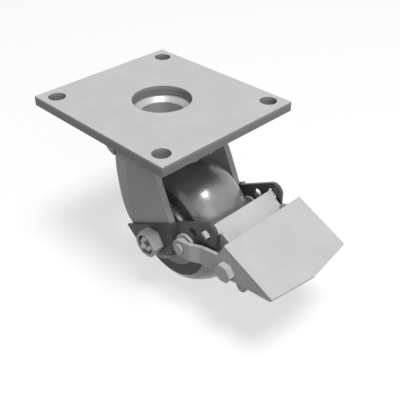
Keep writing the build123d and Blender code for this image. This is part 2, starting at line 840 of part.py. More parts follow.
# Axle bolt, with a pocket in its head for the grease fitting
axle_right_seat = seat_plane(axle_point, -bracket_rear_outer, -1)
axle_left_seat = seat_plane(axle_point, bracket_rear_outer, 1)
axle_head = hexagon(axle_right_seat, head_flats, head_height)
with BuildPart() as axle_bolt:
    add(axle_head)
    with BuildSketch(axle_right_seat):
        Circle(axle_diameter / 2)
    extrude(amount=-2 * bracket_rear_outer - washer_thickness - nut_height)
    with BuildSketch(axle_left_seat):
        Circle(axle_root_radius)
    extrude(amount=washer_thickness + nut_height + bolt_end_length)
    with BuildSketch(axle_right_seat.offset(head_height)):
        Circle(head_pocket_radius)
    extrude(amount=-head_pocket_depth, mode=Mode.SUBTRACT)
    with BuildSketch(axle_right_seat.offset(head_height - head_pocket_depth)):
        Circle(fitting_stem_radius)
    extrude(amount=-head_height, mode=Mode.SUBTRACT)
finish(axle_bolt.part, "axle_bolt")
build_grease_fitting(
    "axle_grease_fitting",
    axle_right_seat.offset(head_height - head_pocket_depth),
    axle_fitting_flats,
    head_height / 2,
)

build_ring(
    "axle_washer",
    axle_point,
    axle_hole_radius,
    washer_radius,
    bracket_rear_outer,
    bracket_rear_outer + washer_thickness,
)

# Lock nut: a hexagon with a round collar
axle_nut_seat = axle_left_seat.offset(washer_thickness)
axle_nut_blank = hexagon(axle_nut_seat, head_flats, nut_height - nut_collar_height)
with BuildPart() as axle_nut:
    add(axle_nut_blank)
    with BuildSketch(axle_nut_seat):
        Circle(nut_collar_radius)
    extrude(amount=nut_height)
    with BuildSketch(axle_nut_seat):
        Circle(axle_diameter / 2)
    extrude(amount=nut_height, mode=Mode.SUBTRACT)
finish(axle_nut.part, "axle_nut")

# Bearings, sleeve and spacers on the axle
sleeve_radius = bearing_bore_diameter / 2 - bearing_fit
bearing_face = hub_width / 2 - hub_recess_depth
bearing_back = bearing_face - bearing_width
bearing_middle = bearing_face - bearing_width / 2
bearing_ball_circle = (bearing_bore_diameter + bearing_outer_diameter) / 4
bearing_inner_ring_radius = bearing_bore_diameter / 2 + bearing_ring_wall
bearing_outer_ring_radius = bearing_outer_diameter / 2 - bearing_ring_wall
build_ring(
    "axle_sleeve",
    axle_point,
    axle_diameter / 2 + sleeve_clearance,
    sleeve_radius,
    -leg_inner,
    leg_inner,
)
build_ring(
    "bearing_spacer",
    axle_point,
    bearing_bore_diameter / 2,
    bearing_bore_diameter / 2 + bearing_spacer_wall,
    -bearing_back,
    bearing_back,
)


def build_bearing_ring(name, side, inner_radius, outer_radius):
    """One grooved ring of a wheel bearing."""
    with BuildPart() as ring:
        with BuildSketch(section_plane(axle_point)):
            with Locations(((inner_radius + outer_radius) / 2, side * bearing_middle)):
                Rectangle(outer_radius - inner_radius, bearing_width)
            with Locations((bearing_ball_circle, side * bearing_middle)):
                Circle(bearing_ball_diameter / 2 + groove_clearance, mode=Mode.SUBTRACT)
        revolve(axis=axle_axis)
    finish(ring.part, name)


def build_bearing(side_name, side):
    """Both rings, the balls, the shield and the hub spacer on one side of the wheel."""
    build_bearing_ring(
        f"{side_name}_bearing_inner", side, bearing_bore_diameter / 2, bearing_inner_ring_radius
    )
    build_bearing_ring(
        f"{side_name}_bearing_outer", side, bearing_outer_ring_radius, bearing_outer_diameter / 2
    )
    with BuildPart() as balls:
        with Locations(seat_plane(axle_point, side * bearing_middle, side)):
            with PolarLocations(bearing_ball_circle, bearing_ball_count):
                Sphere(bearing_ball_diameter / 2)
    finish(balls.part, f"{side_name}_bearing_balls")
    build_ring(
        f"{side_name}_bearing_shield",
        axle_point,
        bearing_inner_ring_radius + shield_gap,
        bearing_outer_ring_radius,
        side * (bearing_face - shield_gap),
        side * (bearing_face - shield_gap - shield_thickness),
    )
    build_ring(
        f"{side_name}_hub_spacer",
        axle_point,
        bearing_bore_diameter / 2,
        hub_spacer_radius,
        side * bearing_face,
        side * leg_inner,
    )


build_bearing("right", -1)
build_bearing("left", 1)

# Wheel core: hub with coned ends, bearing seats and the rim that carries the tread
tread_half = tread_width / 2
core_half = core_rim_width / 2
hub_half = hub_width / 2
seat_radius = bearing_outer_diameter / 2
shoulder_radius = seat_radius - bearing_ring_wall / 2
core_side = (
    (shoulder_radius, bearing_back),
    (seat_radius, bearing_back),
    (seat_radius, hub_half),
    (hub_face_radius, hub_half),
    (hub_flare_radius, tread_half),
    (core_face_radius, tread_half),
    (core_rim_radius - core_rim_bevel, core_half),
    (core_rim_radius, core_half - core_rim_bevel),
)
with BuildPart() as wheel_core:
    with BuildSketch(section_plane(axle_point)):
        with BuildLine():
            Polyline(*core_side, *[(r, -y) for r, y in reversed(core_side)], close=True)
        make_face()
    revolve(axis=axle_axis)
finish(wheel_core.part, "wheel_core")

# Tread moulded over the core's rim, domed across its face
tread_shoulder_half = tread_half - tread_shoulder_inset
with BuildPart() as tread:
    with BuildSketch(section_plane(axle_point)):
        with BuildLine():
            Polyline(
                (tread_shoulder_radius, -tread_shoulder_half),
                (tread_side_radius, -tread_half),
                (core_face_radius, -tread_half),
                (core_rim_radius - core_rim_bevel, -core_half),
                (core_rim_radius, -core_half + core_rim_bevel),
                (core_rim_radius, core_half - core_rim_bevel),
                (core_rim_radius - core_rim_bevel, core_half),
                (core_face_radius, tread_half),
                (tread_side_radius, tread_half),
                (tread_shoulder_radius, tread_shoulder_half),
            )
            ThreePointArc(
                (tread_shoulder_radius, tread_shoulder_half),
                (wheel_radius, 0),
                (tread_shoulder_radius, -tread_shoulder_half),
            )
        make_face()
    revolve(axis=axle_axis)
finish(tread.part, "tread")
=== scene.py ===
"""Finishes, small details, studio and camera for a swivel plate caster with a foot brake."""

import logging
import math
import random
from contextlib import contextmanager
from dataclasses import dataclass, field
from enum import Enum
from typing import Any, Iterator, Mapping, Sequence, Union

import bmesh
import bpy
from mathutils import Matrix, Vector


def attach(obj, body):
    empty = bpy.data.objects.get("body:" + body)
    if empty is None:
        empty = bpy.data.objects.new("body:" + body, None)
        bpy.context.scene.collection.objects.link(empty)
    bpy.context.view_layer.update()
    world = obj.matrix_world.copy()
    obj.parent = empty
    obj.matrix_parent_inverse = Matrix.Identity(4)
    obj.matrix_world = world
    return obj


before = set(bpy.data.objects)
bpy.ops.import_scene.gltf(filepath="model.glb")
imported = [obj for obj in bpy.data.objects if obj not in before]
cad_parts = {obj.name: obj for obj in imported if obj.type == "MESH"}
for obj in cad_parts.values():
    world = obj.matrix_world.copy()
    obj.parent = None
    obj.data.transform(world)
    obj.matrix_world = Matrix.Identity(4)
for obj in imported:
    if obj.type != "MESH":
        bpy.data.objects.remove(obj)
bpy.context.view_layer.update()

log = logging.getLogger("caster")

Colour = tuple[float, float, float]
Triple = tuple[float, float, float]
Band = tuple[float, float]
Operand = Union["Signal", float, int]

MM = 0.001
ALONG_Y: Triple = (0.0, 1.0, 0.0)
ALONG_Z: Triple = (0.0, 0.0, 1.0)
BLACK: Colour = (0.0, 0.0, 0.0)
WHITE: Colour = (1.0, 1.0, 1.0)
NOISE_MIDDLE = 0.5
MIX_LOW, MIX_HIGH, MIX_RESULT = 6, 7, 2
PROBE_SAMPLES = 6
EDGE_BAND: Band = (0.005, 0.16)
CREVICE_BAND: Band = (0.12, 0.8)
MERGE_DISTANCE = 0.000001
WELD_SEED = 11


class Signal:
    """A shader socket that takes part in Python arithmetic."""

    def __init__(self, bench: "NodeBench", socket: bpy.types.NodeSocket) -> None:
        """Keep the socket and the bench that adds nodes for it.

        Args:
            bench: The node bench of the material.
            socket: An output socket.
        """
        self.bench = bench
        self.socket = socket

    def math(self, operation: str, first: Operand, second: Operand = 0.0) -> "Signal":
        """Add one Math node.

        Args:
            operation: Blender's name of the operation.
            first: Left operand.
            second: Right operand.

        Returns:
            The node's result.
        """
        node = self.bench.node("ShaderNodeMath", {"operation": operation}, {0: first, 1: second})
        return Signal(self.bench, node.outputs[0])

    def __add__(self, other: Operand) -> "Signal":
        """Sum."""
        return self.math("ADD", self, other)

    def __radd__(self, other: Operand) -> "Signal":
        """Sum with a number on the left."""
        return self.math("ADD", other, self)

    def __sub__(self, other: Operand) -> "Signal":
        """Difference."""
        return self.math("SUBTRACT", self, other)

    def __rsub__(self, other: Operand) -> "Signal":
        """Difference with a number on the left."""
        return self.math("SUBTRACT", other, self)

    def __mul__(self, other: Operand) -> "Signal":
        """Product."""
        return self.math("MULTIPLY", self, other)

    def __rmul__(self, other: Operand) -> "Signal":
        """Product with a number on the left."""
        return self.math("MULTIPLY", other, self)

    def size(self) -> "Signal":
        """The value without its sign."""
        return self.math("ABSOLUTE", self)

    def swing(self) -> "Signal":
        """How far a noise value lies above or below its middle."""
        return self - NOISE_MIDDLE

    def rise(self, low: float, high: float) -> "Signal":
        """Run from 0 at low to 1 at high, smoothly and held at both ends.

        Args:
            low: Value that gives 0.
            high: Value that gives 1.

        Returns:
            The shaped signal.
        """
        node = self.bench.node(
            "ShaderNodeMapRange",
            {"interpolation_type": "SMOOTHSTEP"},
            {"Value": self, "From Min": low, "From Max": high},
        )
        return Signal(self.bench, node.outputs["Result"])


@dataclass(frozen=True)
class Noise:
    """A noise pattern: features per metre, its finer layers, and a factor for each axis."""

    scale: float
    detail: float = 2.0
    rough: float = 0.5
    stretch: Triple | None = None


class NodeBench:
    """Adds nodes to one material or to the world, and links them."""

    def __init__(self, owner: Union[bpy.types.Material, bpy.types.World], shader: str) -> None:
        """Switch the owner to nodes.

        Args:
            owner: The material or world.
            shader: The name of its shader node.
        """
        owner.use_nodes = True
        self.owner = owner
        self.tree = owner.node_tree
        self.shader = self.tree.nodes[shader]

    @classmethod
    def material(cls, name: str) -> "NodeBench":
        """A bench for a new material of that name."""
        return cls(bpy.data.materials.new(name), "Principled BSDF")

    @classmethod
    def world(cls, name: str) -> "NodeBench":
        """A bench for a new world of that name."""
        return cls(bpy.data.worlds.new(name), "Background")

    def seen(self) -> Signal:
        """1 for what is seen, straight or in metal or glass, and 0 for what only gives light."""
        rays = self.node("ShaderNodeLightPath").outputs
        camera, glossy, through = (
            Signal(self, rays[f"Is {kind} Ray"]) for kind in ("Camera", "Glossy", "Transmission")
        )
        return camera + glossy + through

    def node(
        self,
        kind: str,
        settings: Mapping[str, Any] | None = None,
        sockets: Mapping[Union[str, int], Any] | None = None,
    ) -> bpy.types.Node:
        """Add a node, set it up and feed it.

        Args:
            kind: Blender's name of the node's type.
            settings: The node's own properties.
            sockets: Values or signals by input name or number.

        Returns:
            The new node.
        """
        made = self.tree.nodes.new(kind)
        for key, value in (settings or {}).items():
            setattr(made, key, value)
        for key, value in (sockets or {}).items():
            self.feed(made.inputs[key], value)
        return made

    def feed(self, socket: bpy.types.NodeSocket, value: Any) -> None:
        """Link a signal to an input, or set its value.

        Args:
            socket: The input.
            value: A signal, a number, a vector or a colour.
        """
        if isinstance(value, Signal):
            self.tree.links.new(value.socket, socket)
        elif socket.type == "RGBA" and len(value) == 3:
            socket.default_value = (*value, 1.0)
        else:
            socket.default_value = value

    def place(self) -> Signal:
        """The point's place in the object's own coordinates, in metres."""
        return Signal(self, self.node("ShaderNodeTexCoord").outputs["Object"])

    def facing(self) -> Signal:
        """The direction that the surface faces."""
        return Signal(self, self.node("ShaderNodeNewGeometry").outputs["Normal"])

    def axes(self, vector: Signal) -> tuple[Signal, ...]:
        """A vector's x, y and z."""
        outputs = self.node("ShaderNodeSeparateXYZ", {}, {0: vector}).outputs
        return tuple(Signal(self, output) for output in outputs)

    def vector(self, operation: str, first: Any, second: Any = None) -> Signal:
        """Add one Vector Math node.

        Args:
            operation: Blender's name of the operation.
            first: First vector.
            second: Second vector.

        Returns:
            The result, a number for a length or a dot product and else a vector.
        """
        sockets = {0: first} if second is None else {0: first, 1: second}
        outputs = self.node("ShaderNodeVectorMath", {"operation": operation}, sockets).outputs
        result = "Value" if operation in ("LENGTH", "DOT_PRODUCT") else "Vector"
        return Signal(self, outputs[result])

    def noise(self, pattern: Noise, vector: Signal | None = None) -> Signal:
        """Smooth noise from about 0.3 to 0.7.

        Args:
            pattern: Its scale and fineness.
            vector: Where it is read, if not at the point's own place.

        Returns:
            The noise value.
        """
        if vector is None:
            vector = self.place()
        if pattern.stretch:
            vector = self.vector("MULTIPLY", vector, pattern.stretch)
        sockets = {
            "Vector": vector,
            "Scale": pattern.scale,
            "Detail": pattern.detail,
            "Roughness": pattern.rough,
        }
        return Signal(self, self.node("ShaderNodeTexNoise", {}, sockets).outputs[0])

    def turned(self, centre: Triple, axis: Triple) -> Signal:
        """Radius about an axis and the distance along it, for marks left by turning.

        Args:
            centre: A point on the axis, in metres.
            axis: The axis, as a vector of length 1.

        Returns:
            A vector of radius and distance.
        """
        offset = self.vector("SUBTRACT", self.place(), centre)
        across = self.vector("MULTIPLY", offset, tuple(1.0 - part for part in axis))
        radius = self.vector("LENGTH", across)
        along = self.vector("DOT_PRODUCT", offset, axis)
        joined = self.node("ShaderNodeCombineXYZ", {}, {"X": radius, "Y": along})
        return Signal(self, joined.outputs[0])

    def tint(self, factor: Operand, low: Any, high: Any) -> Signal:
        """Blend two colours.

        Args:
            factor: 0 gives low and 1 gives high.
            low: A colour or a colour signal.
            high: A colour or a colour signal.

        Returns:
            The blended colour.
        """
        sockets = {"Factor": factor, MIX_LOW: low, MIX_HIGH: high}
        node = self.node("ShaderNodeMix", {"data_type": "RGBA"}, sockets)
        return Signal(self, node.outputs[MIX_RESULT])

    def edge(self, radius: float) -> tuple[Signal, Signal]:
        """Rounded normal near edges, and a mask that is 1 on worn convex and concave edges.

        Args:
            radius: How far from an edge it reaches, in metres.

        Returns:
            The rounded normal and the mask.
        """
        node = self.node("ShaderNodeBevel", {"samples": PROBE_SAMPLES}, {"Radius": radius})
        soft = Signal(self, node.outputs[0])
        match = self.vector("DOT_PRODUCT", soft, self.facing())
        return soft, (1.0 - match).rise(*EDGE_BAND)

    def crevice(self, reach: float) -> Signal:
        """A mask that is 1 deep in corners and between pieces, where shade is painted.

        Args:
            reach: How far it looks for other surfaces, in metres.

        Returns:
            The mask.
        """
        settings = {"samples": PROBE_SAMPLES}
        node = self.node("ShaderNodeAmbientOcclusion", settings, {"Distance": reach})
        return (1.0 - Signal(self, node.outputs["AO"])).rise(*CREVICE_BAND)

    def bump(self, height: Signal, depth: float, normal: Signal | None = None) -> Signal:
        """Relief from a height signal.

        Args:
            height: Height from 0 to 1.
            depth: Metres of relief.
            normal: The normal that it starts from.

        Returns:
            The new normal.
        """
        sockets: dict[Union[str, int], Any] = {"Height": height, "Distance": depth, "Strength": 1.0}
        if normal is not None:
            sockets["Normal"] = normal
        return Signal(self, self.node("ShaderNodeBump", {}, sockets).outputs[0])

    def finish(self, values: Mapping[str, Any]) -> Union[bpy.types.Material, bpy.types.World]:
        """Feed the shader.

        Args:
            values: Values or signals by input name.

        Returns:
            The material or world.
        """
        for key, value in values.items():
            self.feed(self.shader.inputs[key], value)
        return self.owner


@dataclass(frozen=True)
class CasterPlan:
    """Places and sizes of the caster that the details need, in millimetres."""

    axle: tuple[float, float] = (30.4, -92.1)
    pivot: tuple[float, float] = (61.7, -80.9)
    cross: tuple[float, float] = (105.0, -76.3)
    wheel_radius: float = 50.8
    crown_bottom: float = -32.5
    leg_outer: float = 37.4

    def centre(self, point: tuple[float, float]) -> Triple:
        """A side-view point as a place in metres."""
        return (point[0] * MM, 0.0, point[1] * MM)


PLAN = CasterPlan()


class Grain(Enum):
    """How a metal surface was worked."""

    ROLLED = "rolled"
    CAST = "cast"
    TURNED_AXLE = "turned about the axle"
    TURNED_SWIVEL = "turned about the swivel axis"
    TURNED_PIVOT = "turned about the pedal's pivot"
    TURNED_CROSS = "turned about the cross bolt"


FLAT_GRAINS = {
    Grain.ROLLED: Noise(1.0, 3.0, 0.6, (120.0, 2600.0, 2600.0)),
    Grain.CAST: Noise(1500.0, 3.0, 0.65),
}
TURNED_GRAIN = Noise(3200.0, 2.0, 0.6)
TURNING_AXES = {
    Grain.TURNED_AXLE: (PLAN.centre(PLAN.axle), ALONG_Y),
    Grain.TURNED_SWIVEL: ((0.0, 0.0, 0.0), ALONG_Z),
    Grain.TURNED_PIVOT: (PLAN.centre(PLAN.pivot), ALONG_Y),
    Grain.TURNED_CROSS: (PLAN.centre(PLAN.cross), ALONG_Y),
}


@dataclass(frozen=True)
class ShadedCutFaces:
    """Upright faces of a sheared and punched plate: a burnished band above a torn one.

    Both bands are painted darker than the plate, so every upright face also carries painted
    shade. The burnished band is sized in millimetres, and the relief is in metres.
    """

    burnish_depth: float = 2.4
    burnish_blur: float = 0.3
    burnish_waver: float = 4.0
    # Both colours are darker than the plate's zinc: painted shade on the upright faces as well as
    # the cut's own tone.
    burnished_shaded: Colour = (0.36, 0.362, 0.366)
    torn_shaded: Colour = (0.25, 0.251, 0.254)
    relief: float = 0.00003
    upright_band: Band = (0.3, 0.8)
    streak_noise: Noise = Noise(1.0, 3.0, 0.65, (1300.0, 1300.0, 80.0))
    streak_band: Band = (0.4, 0.7)
    streak_share: float = 0.35

    def mark(self, bench: NodeBench, base: Signal, normal: Signal) -> tuple[Signal, Signal]:
        """Lay the cut's colour, painted darker as shade on all upright faces, and its relief over
        the plate's.

        Args:
            bench: The material's bench.
            base: The plate's colour.
            normal: The plate's normal.

        Returns:
            The new colour and normal.
        """
        facing = bench.axes(bench.facing())[2]
        upright = (1.0 - facing.size()).rise(*self.upright_band)
        up = bench.axes(bench.place())[2]
        streaks = bench.noise(self.streak_noise)
        depth = streaks.swing() * (self.burnish_waver * MM) - up
        tear = depth.rise(
            (self.burnish_depth - self.burnish_blur) * MM,
            (self.burnish_depth + self.burnish_blur) * MM,
        )
        # Painted shade: the cut's darker colours stand for shade on every upright face of the
        # plate, over its real burnished and torn bands.
        cut = bench.tint(tear, self.burnished_shaded, self.torn_shaded)
        cut = bench.tint(streaks.rise(*self.streak_band) * self.streak_share, cut, self.burnished_shaded)
        return bench.tint(upright, base, cut), bench.bump(streaks * upright, self.relief, normal)


@dataclass(frozen=True)
class MetalFinish:
    """A plated, coated or machined metal surface, with depths and reaches in metres.

    A share says how much of the worn colour or of the painted shade a mark takes on, and a gloss
    says how much it changes the roughness.
    """

    name: str
    colour: Colour
    cloud: Colour
    worn: Colour
    metallic: float
    roughness: float
    grain: Grain = Grain.ROLLED
    grain_depth: float = 0.000012
    grain_gloss: float = 0.16
    cloud_noise: Noise = Noise(38.0, 4.0, 0.55)
    cloud_band: Band = (0.36, 0.66)
    cloud_gloss: float = 0.22
    blotch_noise: Noise = Noise(210.0, 3.0, 0.6)
    blotch_band: Band = (0.38, 0.6)
    blotch_depth: float = 0.00002
    fleck_noise: Noise = Noise(1900.0)
    fleck_band: Band = (0.62, 0.72)
    fleck_share: float = 0.25
    fleck_gloss: float = 0.1
    drag_noise: Noise = Noise(1.0, 3.0, 0.62, (45.0, 620.0, 620.0))
    drag_band: Band = (0.58, 0.72)
    drag_share: float = 0.22
    drag_gloss: float = 0.4
    edge_radius: float = 0.0005
    wear: float = 0.45
    wear_gloss: float = 0.12
    # Painted shade: a near-black colour laid into corners and between pieces.
    painted_shade: Colour = (0.035, 0.034, 0.032)
    painted_shade_reach: float = 0.003
    painted_shade_share: float = 0.8
    painted_shade_least: float = 0.35
    sheen: float = 0.25
    coat: float = 0.0
    coat_roughness: float = 0.25
    cut: ShadedCutFaces | None = None

    def _grain(self, bench: NodeBench) -> Signal:
        """Fine marks of the way in which the surface was made.

        Args:
            bench: The material's bench.

        Returns:
            Their height from 0 to 1.
        """
        if self.grain in FLAT_GRAINS:
            return bench.noise(FLAT_GRAINS[self.grain])
        return bench.noise(TURNED_GRAIN, bench.turned(*TURNING_AXES[self.grain]))

    def build(self) -> bpy.types.Material:
        """Make the material.

        Returns:
            The finished material.
        """
        bench = NodeBench.material(self.name)
        grain = self._grain(bench)
        clouds = bench.noise(self.cloud_noise)
        blotch = bench.noise(self.blotch_noise)
        flecks = bench.noise(self.fleck_noise).rise(*self.fleck_band) * self.fleck_share
        drags = bench.noise(self.drag_noise).rise(*self.drag_band) * self.drag_share
        soft, rim = bench.edge(self.edge_radius)
        rubbed = rim * blotch.rise(*self.blotch_band) * self.wear
        normal = bench.bump(grain, self.grain_depth, soft)
        normal = bench.bump(blotch, self.blotch_depth, normal)
        base = bench.tint(clouds.rise(*self.cloud_band), self.colour, self.cloud)
        base = bench.tint(flecks, base, self.worn)
        base = bench.tint(drags, base, self.worn)
        if self.cut:
            base, normal = self.cut.mark(bench, base, normal)
        base = bench.tint(rubbed, base, self.worn)
        # Painted shade: the colour darkens towards near-black in corners and between pieces, found
        # by ambient occlusion and broken up by noise.
        corners = bench.crevice(self.painted_shade_reach) * (blotch + self.painted_shade_least) * self.painted_shade_share
        base = bench.tint(corners, base, self.painted_shade)
        rough = (
            self.roughness
            + clouds.swing() * self.cloud_gloss
            + grain.swing() * self.grain_gloss
            + flecks * self.fleck_gloss
            - drags * self.drag_gloss
            - rubbed * self.wear_gloss
        )
        return bench.finish(
            {
                "Base Color": base,
                "Metallic": self.metallic,
                "Roughness": rough,
                "Normal": normal,
                "Specular IOR Level": self.sheen,
                "Coat Weight": self.coat,
                "Coat Roughness": self.coat_roughness,
            }
        )


@dataclass(frozen=True)
class TreadFinish:
    """Hard moulded tread, polished round its face by rolling and dull at its sides, whose darker
    colour is painted shade.
    """

    name: str
    colour: Colour
    scuffed: Colour
    # side: a darker colour painted on the flanks as shade.
    side: Colour
    roughness: float
    coat: float
    coat_roughness: float = 0.22
    coat_ior: float = 1.65
    half_width: float = 25.4
    flank_start: float = 0.7
    flank_end: float = 0.1
    flank_gloss: float = 0.15
    cloud_noise: Noise = Noise(60.0, 4.0, 0.6)
    cloud_band: Band = (0.35, 0.68)
    cloud_gloss: float = 0.18
    line_noise: Noise = Noise(900.0, 3.0, 0.6)
    line_depth: float = 0.00001
    line_gloss: float = 0.1
    skin_noise: Noise = Noise(2600.0, 3.0, 0.6)
    skin_depth: float = 0.000006
    scrape_noise: Noise = Noise(1.0, 4.0, 0.7, (300.0, 55.0, 300.0))
    scrape_band: Band = (0.57, 0.7)
    scrape_share: float = 0.3
    scrape_gloss: float = 0.1
    edge_radius: float = 0.0008

    def build(self) -> bpy.types.Material:
        """Make the material.

        Returns:
            The finished material.
        """
        bench = NodeBench.material(self.name)
        clouds = bench.noise(self.cloud_noise)
        lines = bench.noise(self.line_noise, bench.turned(PLAN.centre(PLAN.axle), ALONG_Y))
        skin = bench.noise(self.skin_noise)
        scrapes = bench.noise(self.scrape_noise).rise(*self.scrape_band)
        scuffs = clouds.rise(*self.cloud_band)
        flank = bench.axes(bench.place())[1].size().rise(
            (self.half_width - self.flank_start) * MM, (self.half_width - self.flank_end) * MM
        )
        base = bench.tint(scuffs, self.colour, self.scuffed)
        base = bench.tint(scrapes * self.scrape_share, base, self.scuffed)
        # Painted shade: the flanks near both side faces take the darker side colour.
        base = bench.tint(flank, base, bench.tint(scuffs, self.side, self.colour))
        rough = (
            self.roughness
            + clouds.swing() * self.cloud_gloss
            + scrapes * self.scrape_gloss
            + lines.swing() * self.line_gloss
            + flank * self.flank_gloss
        )
        soft, _ = bench.edge(self.edge_radius)
        normal = bench.bump(lines, self.line_depth, soft)
        normal = bench.bump(skin, self.skin_depth, normal)
        return bench.finish(
            {
                "Base Color": base,
                "Metallic": 0.0,
                "Roughness": rough,
                "Normal": normal,
                "Coat Weight": (1.0 - flank) * self.coat,
                "Coat Roughness": self.coat_roughness,
                "Coat IOR": self.coat_ior,
            }
        )


@dataclass(frozen=True)
class RubberFinish:
    """Matte rubber or nylon with a bloom of dust."""

    name: str
    colour: Colour
    dust: Colour
    dust_share: float = 0.6
    roughness: float = 0.72
    cloud_noise: Noise = Noise(90.0, 4.0, 0.6)
    cloud_band: Band = (0.45, 0.75)
    cloud_gloss: float = 0.2
    skin_noise: Noise = Noise(2200.0, 2.0, 0.6)
    skin_depth: float = 0.00001

    def build(self) -> bpy.types.Material:
        """Make the material.

        Returns:
            The finished material.
        """
        bench = NodeBench.material(self.name)
        clouds = bench.noise(self.cloud_noise)
        dusty = clouds.rise(*self.cloud_band) * self.dust_share
        return bench.finish(
            {
                "Base Color": bench.tint(dusty, self.colour, self.dust),
                "Roughness": self.roughness + clouds.swing() * self.cloud_gloss,
                "Normal": bench.bump(bench.noise(self.skin_noise), self.skin_depth),
            }
        )


@dataclass(frozen=True)
class WeldFinish:
    """Weld metal under thin plating, a little heat tinted."""

    name: str
    colour: Colour
    tinted: Colour
    metallic: float = 0.15
    roughness: float = 0.5
    sheen: float = 0.25
    cloud_noise: Noise = Noise(260.0, 3.0, 0.6)
    cloud_band: Band = (0.4, 0.65)
    cloud_gloss: float = 0.25
    pit_noise: Noise = Noise(2400.0, 2.0, 0.6)
    pit_depth: float = 0.00003

    def build(self) -> bpy.types.Material:
        """Make the material.

        Returns:
            The finished material.
        """
        bench = NodeBench.material(self.name)
        clouds = bench.noise(self.cloud_noise)
        return bench.finish(
            {
                "Base Color": bench.tint(clouds.rise(*self.cloud_band), self.colour, self.tinted),
                "Metallic": self.metallic,
                "Roughness": self.roughness + clouds.swing() * self.cloud_gloss,
                "Specular IOR Level": self.sheen,
                "Normal": bench.bump(bench.noise(self.pit_noise), self.pit_depth),
            }
        )


class Finishes:
    """Every finish of the caster, made once and handed out by name."""

    def __init__(self) -> None:
        """Make the materials."""
        zinc = dict(
            colour=(0.545, 0.549, 0.555),
            cloud=(0.575, 0.578, 0.583),
            worn=(0.68, 0.682, 0.685),
            metallic=0.08,
        )
        bright = dict(
            colour=(0.54, 0.543, 0.548),
            cloud=(0.59, 0.592, 0.596),
            worn=(0.74, 0.741, 0.744),
            metallic=0.1,
        )
        self.made: dict[str, bpy.types.Material] = {
            finish.name: finish.build()
            for finish in (
                MetalFinish("zinc_sheared", roughness=0.46, cut=ShadedCutFaces(), **zinc),
                MetalFinish("zinc_rolled", roughness=0.46, **zinc),
                MetalFinish("zinc_turned", roughness=0.44, grain=Grain.TURNED_SWIVEL, **zinc),
                MetalFinish("bright_sheet", roughness=0.36, **bright),
                MetalFinish("bright_axle", roughness=0.33, grain=Grain.TURNED_AXLE, **bright),
                MetalFinish("bright_pivot", roughness=0.33, grain=Grain.TURNED_PIVOT, **bright),
                MetalFinish("bright_cross", roughness=0.33, grain=Grain.TURNED_CROSS, **bright),
                MetalFinish(
                    "black_coat",
                    colour=(0.085, 0.085, 0.088),
                    cloud=(0.105, 0.105, 0.108),
                    worn=(0.26, 0.26, 0.265),
                    metallic=0.0,
                    roughness=0.42,
                    grain=Grain.CAST,
                    blotch_depth=0.00003,
                    wear=0.75,
                    fleck_share=0.05,
                    coat=0.15,
                ),
                MetalFinish(
                    "race_swivel",
                    colour=(0.5, 0.5, 0.504),
                    cloud=(0.56, 0.56, 0.564),
                    worn=(0.78, 0.78, 0.78),
                    metallic=0.25,
                    roughness=0.34,
                    grain=Grain.TURNED_SWIVEL,
                    fleck_share=0.05,
                ),
                MetalFinish(
                    "race_axle",
                    colour=(0.56, 0.56, 0.565),
                    cloud=(0.62, 0.62, 0.625),
                    worn=(0.8, 0.8, 0.8),
                    metallic=0.6,
                    roughness=0.25,
                    grain=Grain.TURNED_AXLE,
                    fleck_share=0.05,
                ),
                MetalFinish(
                    "machined_core",
                    colour=(0.33, 0.331, 0.334),
                    cloud=(0.39, 0.391, 0.394),
                    worn=(0.62, 0.62, 0.62),
                    metallic=0.15,
                    roughness=0.34,
                    grain=Grain.TURNED_AXLE,
                    grain_depth=0.00002,
                    fleck_share=0.1,
                ),
                MetalFinish(
                    "fitting_plating",
                    colour=(0.38, 0.379, 0.374),
                    cloud=(0.46, 0.458, 0.45),
                    worn=(0.7, 0.698, 0.69),
                    metallic=0.5,
                    roughness=0.28,
                    grain=Grain.CAST,
                    grain_depth=0.000004,
                ),
                TreadFinish(
                    "tread_face",
                    colour=(0.165, 0.165, 0.168),
                    scuffed=(0.21, 0.21, 0.212),
                    side=(0.085, 0.085, 0.087),
                    roughness=0.5,
                    coat=1.0,
                ),
                RubberFinish("seal_skin", colour=(0.022, 0.022, 0.023), dust=(0.11, 0.108, 0.1)),
                RubberFinish("nylon_insert", colour=(0.5, 0.5, 0.49), dust=(0.6, 0.59, 0.56)),
                WeldFinish("weld_metal", colour=(0.42, 0.42, 0.424), tinted=(0.31, 0.307, 0.3)),
            )
        }

    def __getitem__(self, name: str) -> bpy.types.Material:
        """The material of that name."""
        return self.made[name]

    def dress(self, node: str, name: str) -> None:
        """Give a CAD node a finish.

        Args:
            node: The node's name.
            name: The finish's name.
        """
        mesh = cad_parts[node].data
        mesh.materials.clear()
        mesh.materials.append(self.made[name])
        log.info("node %s wears %s", node, name)


